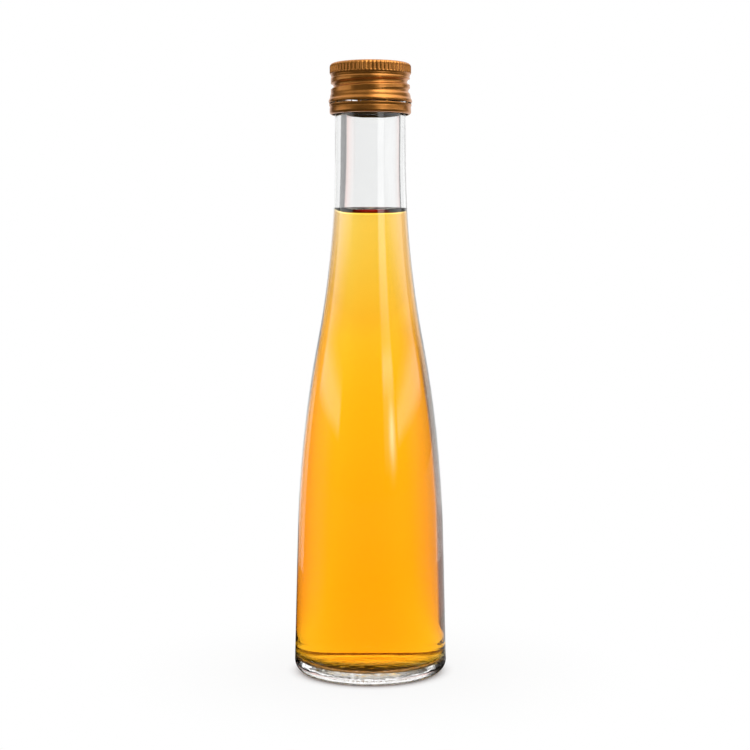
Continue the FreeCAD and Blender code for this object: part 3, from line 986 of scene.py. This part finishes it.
def card(name, foot_points, top, material):
    """An upright card over a line on the floor, seen only through the glass or in it."""
    vertices = []
    for x, y in foot_points:
        vertices += [(x, y, CARD_FOOT), (x, y, top)]
    faces = [(i, i + 2, i + 3, i + 1) for i in range(0, len(vertices) - 2, 2)]
    made = link_object(name, vertices, faces, [material])
    hide_from(made, "camera", "diffuse", "shadow")


class BOTTLE_OT_studio(bpy.types.Operator):
    """Set up the pale floor, the soft light, the surroundings and the camera"""
    bl_idname = "bottle.studio"
    bl_label = "Studio"

    def execute(self, context):
        studio = context.scene.bottle_studio
        self.make_floor(studio)
        self.make_surroundings(context.scene, studio)
        self.make_lights(studio)
        self.make_flag(studio)
        self.make_bounce(studio)
        self.make_camera(context.scene, studio)
        context.scene.view_settings.view_transform = "Standard"
        return {"FINISHED"}

    def behind(self, tree, around, dark, studio):
        """White behind the bottle, dark at its sides, the room in front."""
        room = studio.room
        white = studio.back_glow
        return ramp(tree, around, [
            (-180, room), (-110, room), (-90, dark), (-37, dark), (-31, white), (45, white),
            (49, dark), (90, dark), (110, room), (180, room)])

    def sides(self, tree, around, studio):
        """White behind the bottle, going over to the warmer sides."""
        warm = tuple(studio.sides)
        return ramp(tree, around, [
            (-180, 1.0), (-80, 1.0), (-60, warm), (-36, warm), (-13, 1.0), (13, 1.0),
            (36, warm), (60, warm), (80, 1.0), (180, 1.0)])

    def floor_tone(self, tree, around, away, studio):
        """What each kind of ray sees of the floor, and how much of the camera's is glow."""
        camera, straight, inner, outer = ray_kinds(tree)
        own = maths(
            tree, "ADD", spread(tree, away, *CONTACT, 0.0, studio.floor_glow),
            spread(tree, away, *OPEN_FLOOR, 0.0, 1.0 - studio.floor_glow))
        far = product(
            tree, spread(tree, away, *FAR_GLOSS, studio.room, 1.0),
            self.behind(tree, around, studio.room, studio))
        near_right = product(tree, spread(tree, away, *NEAR_GLOSS), ramp(tree, around, [
            (-180, 0.0), (6, 0.0), (20, 0.6), (50, 0.6), (60, 0.2), (90, 0.0), (180, 0.0)]))
        mirrored = maths(tree, "MAXIMUM", far, near_right)
        depth = spread(tree, away, *SWEEP, studio.back_near, studio.back_far)
        bell = ramp(tree, around, [
            (-180, 0.9), (-90, 0.9), (-60, 0.7), (-38, 0.72), (-27, 0.8), (-16, 0.92),
            (-9, 1.0), (12, 1.0), (25, 0.96), (38, 0.92), (48, 0.96), (60, 1.05), (180, 0.9)])
        even = maths(tree, "MAXIMUM", bell, spread(tree, away, *EVENED, 0.5, 1.0))
        # Painted shadow under the bottle: straight rays see the floor's glow dimmed to 0.6 there.
        under = spread(tree, away, *UNDERSIDE, 0.6, 1.0)
        dusk = ramp(tree, around, [
            (-180, studio.room), (-110, studio.room), (-90, studio.dusk), (90, studio.dusk),
            (110, studio.room), (180, studio.room)])
        tone = weighed(
            tree,
            (WHITE, camera),
            (self.sides(tree, around, studio), product(tree, straight, depth, even, under)),
            (WHITE, product(tree, outer, mirrored)),
            (WHITE, product(tree, inner, mirrored)),
            (tuple(studio.shade), product(tree, inner, spread(tree, away, *BASE_SHADE, 1.0, 0.0))),
            (dusk, product(tree, inner, spread(tree, away, *BASE_SHADE))))
        seen = maths(tree, "ADD", maths(tree, "ADD", straight, inner), outer)
        return tone, maths(tree, "ADD", product(tree, camera, own), seen)

    def make_floor(self, studio):
        """A white table top; its glow is seen by the camera, in gloss and through glass."""
        material, tree, output = bare_material("studio_floor")
        place = place_on(tree)
        around = compass(tree, parts_of(tree, place))
        away = vector_maths(tree, "LENGTH", {0: place})
        tone, amount = self.floor_tone(tree, around, away, studio)
        glow = add_node(tree, "ShaderNodeEmission", {"Color": tone})
        paper = add_node(tree, "ShaderNodeBsdfDiffuse", {"Color": (0.9, 0.9, 0.9, 1)})
        blend(tree, output, amount, paper.outputs["BSDF"], glow.outputs["Emission"])
        reach = studio.floor_radius
        rim = []
        for degrees in range(0, 360, 3):
            turn = math.radians(degrees)
            rim.append((reach * math.sin(turn), reach * math.cos(turn), 0.0))
        faces = [(0, 1 + (i + 1) % len(rim), 1 + i) for i in range(len(rim))]
        link_object("floor", [(0.0, 0.0, 0.0)] + rim, faces, [material])

    def make_surroundings(self, scene, studio):
        """White behind and to the camera; a dark room in front for what reflects it."""
        scene.world = bpy.data.worlds.new("studio_room")
        tree, output = bare_tree(scene.world, "ShaderNodeOutputWorld")
        parts = parts_of(tree, place_on(tree, "Generated"))
        around = compass(tree, parts)
        up = parts["Z"]
        camera, straight, inner, outer = ray_kinds(tree)
        wall = spread(tree, up, *HORIZON, studio.back_far, studio.back_glow)
        overhead = product(
            tree, spread(tree, up, *OVERHEAD, 0.0, studio.ceiling), ramp(tree, around, [
                (-180, 0.05), (-120, 0.25), (-60, 0.3), (40, 0.3), (100, 0.6), (130, 1.0),
                (158, 1.0), (176, 0.05), (180, 0.05)]))
        mirrored = maths(
            tree, "MAXIMUM", overhead, self.behind(tree, around, studio.room, studio))
        diffuse = 1.0
        for kind in (camera, straight, inner, outer):
            diffuse = maths(tree, "SUBTRACT", diffuse, kind)
        low = spread(tree, up, *MIRRORED_WALL, 1.0, studio.room)
        tone = weighed(
            tree,
            (WHITE, camera),
            (self.sides(tree, around, studio), product(tree, straight, wall)),
            (WHITE, product(tree, outer, mirrored)),
            (WHITE, diffuse),
            (self.behind(tree, around, studio.dusk, studio), product(tree, inner, low)))
        ground = add_node(tree, "ShaderNodeBackground", {"Color": tone})
        feed(tree, output, {"Surface": ground.outputs["Background"]})

    def make_lights(self, studio):
        """The softbox at the front right and a panel on each side."""
        turn = studio.box_angle
        away = Vector((math.sin(turn), -math.cos(turn), 0))
        across = Vector((math.cos(turn), math.sin(turn), 0))
        lamp = away * studio.box_distance
        lamp += across * studio.box_distance * math.tan(studio.lamp_angle - turn)
        lamp.z = studio.lamp_height
        middle = away * studio.box_distance
        middle.z = (studio.box_high + studio.box_low) / 2
        panel(
            "softbox", middle, (studio.box_width, studio.box_high - studio.box_low), -away,
            studio.box_power, studio.soft,
            [(0.08, 0.0), (0.12, 0.22), (0.19, 0.3), (0.225, 1.0), (0.242, 1.0), (0.273, 0.35),
             (0.295, 0.0)],
            (lamp, studio.lamp_power, studio.lamp_spread))
        for name, side, front in SIDE_FRONTS:
            middle = Vector((side * studio.side_distance, (SIDE_BACK - front) / 2, 0.0))
            middle.z = (studio.side_low + studio.side_high) / 2
            panel(
                name, middle, (front + SIDE_BACK, studio.side_high - studio.side_low),
                Vector((-side, 0, 0)), studio.side_power, 3 * studio.soft,
                [(0.17, 0.0), (0.22, 1.0), (0.27, 1.0), (0.33, 0.25), (0.38, 0.0)])

    def make_flag(self, studio):
        """A dark upright card just behind, which draws the glass's right edge."""
        material, tree, output = bare_material("flag")
        parts = parts_of(tree, place_on(tree))
        cover = product(
            tree, spread(tree, parts["Y"], *FLAG_BACK, FLAG_COVER, 0.0),
            spread(tree, parts["Z"], *FLAG_UP, 1.0, 0.0))
        veil(tree, output, cover, FLAG_TONE, 1.0)
        ends = (studio.flag_distance, studio.flag_distance + studio.flag_reach)
        aside, back = -math.sin(studio.flag_angle), math.cos(studio.flag_angle)
        card("flag", [(end * aside, end * back) for end in ends], studio.flag_top, material)

    def make_bounce(self, studio):
        """A low curved card behind, which the floor of the glass mirrors."""
        material, tree, output = bare_material("bounce")
        parts = parts_of(tree, place_on(tree))
        inner = ray_kinds(tree)[2]
        top = studio.bounce_top
        cover = product(
            tree, inner, spread(tree, parts["Z"], top - studio.bounce_fade, top, 1.0, 0.0))
        veil(tree, output, cover, WHITE, studio.bounce)
        reach = studio.bounce_distance
        line = []
        for degrees in range(-50, 51, 2):
            turn = math.radians(degrees)
            line.append((reach * math.sin(turn), reach * math.cos(turn)))
        card("bounce", line, top, material)

    def make_camera(self, scene, studio):
        """The camera at the front, a little above the middle and tilted down."""
        camera = bpy.data.objects.new("camera", bpy.data.cameras.new("camera"))
        scene.collection.objects.link(camera)
        camera.data.lens = LENS
        camera.data.sensor_width = SENSOR
        camera.location = (studio.camera_side, -studio.camera_back, studio.camera_height)
        camera.rotation_euler = (math.pi / 2 - studio.camera_tilt, 0.0, 0.0)
        scene.camera = camera


class BOTTLE_PT_panel(bpy.types.Panel):
    """Buttons that make the bottle piece by piece"""
    bl_idname = "BOTTLE_PT_panel"
    bl_label = "Liqueur bottle"
    bl_space_type = "VIEW_3D"
    bl_region_type = "UI"
    bl_category = "Bottle"

    def draw(self, context):
        for operator in OPERATORS:
            self.layout.operator(operator.bl_idname)
        for name in SETTINGS:
            box = self.layout.box()
            group = getattr(context.scene, name)
            for key in group.__annotations__:
                box.prop(group, key)


SETTINGS = {
    "bottle_glass": GlassSettings,
    "bottle_drink": DrinkSettings,
    "bottle_cap": CapSettings,
    "bottle_studio": StudioSettings,
}
OPERATORS = (BOTTLE_OT_glass, BOTTLE_OT_drink, BOTTLE_OT_cap, BOTTLE_OT_liner, BOTTLE_OT_studio)


def register():
    for kind in (*SETTINGS.values(), *OPERATORS, BOTTLE_PT_panel):
        bpy.utils.register_class(kind)
    for name, kind in SETTINGS.items():
        setattr(bpy.types.Scene, name, bpy.props.PointerProperty(type=kind))


def unregister():
    for name in SETTINGS:
        delattr(bpy.types.Scene, name)
    for kind in reversed((*SETTINGS.values(), *OPERATORS, BOTTLE_PT_panel)):
        bpy.utils.unregister_class(kind)


def main():
    """Make every piece in order."""
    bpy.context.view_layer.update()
    register()
    bpy.ops.bottle.glass()
    bpy.ops.bottle.drink()
    bpy.ops.bottle.cap()
    bpy.ops.bottle.liner()
    bpy.ops.bottle.studio()


if __name__ == "__main__":
    main()
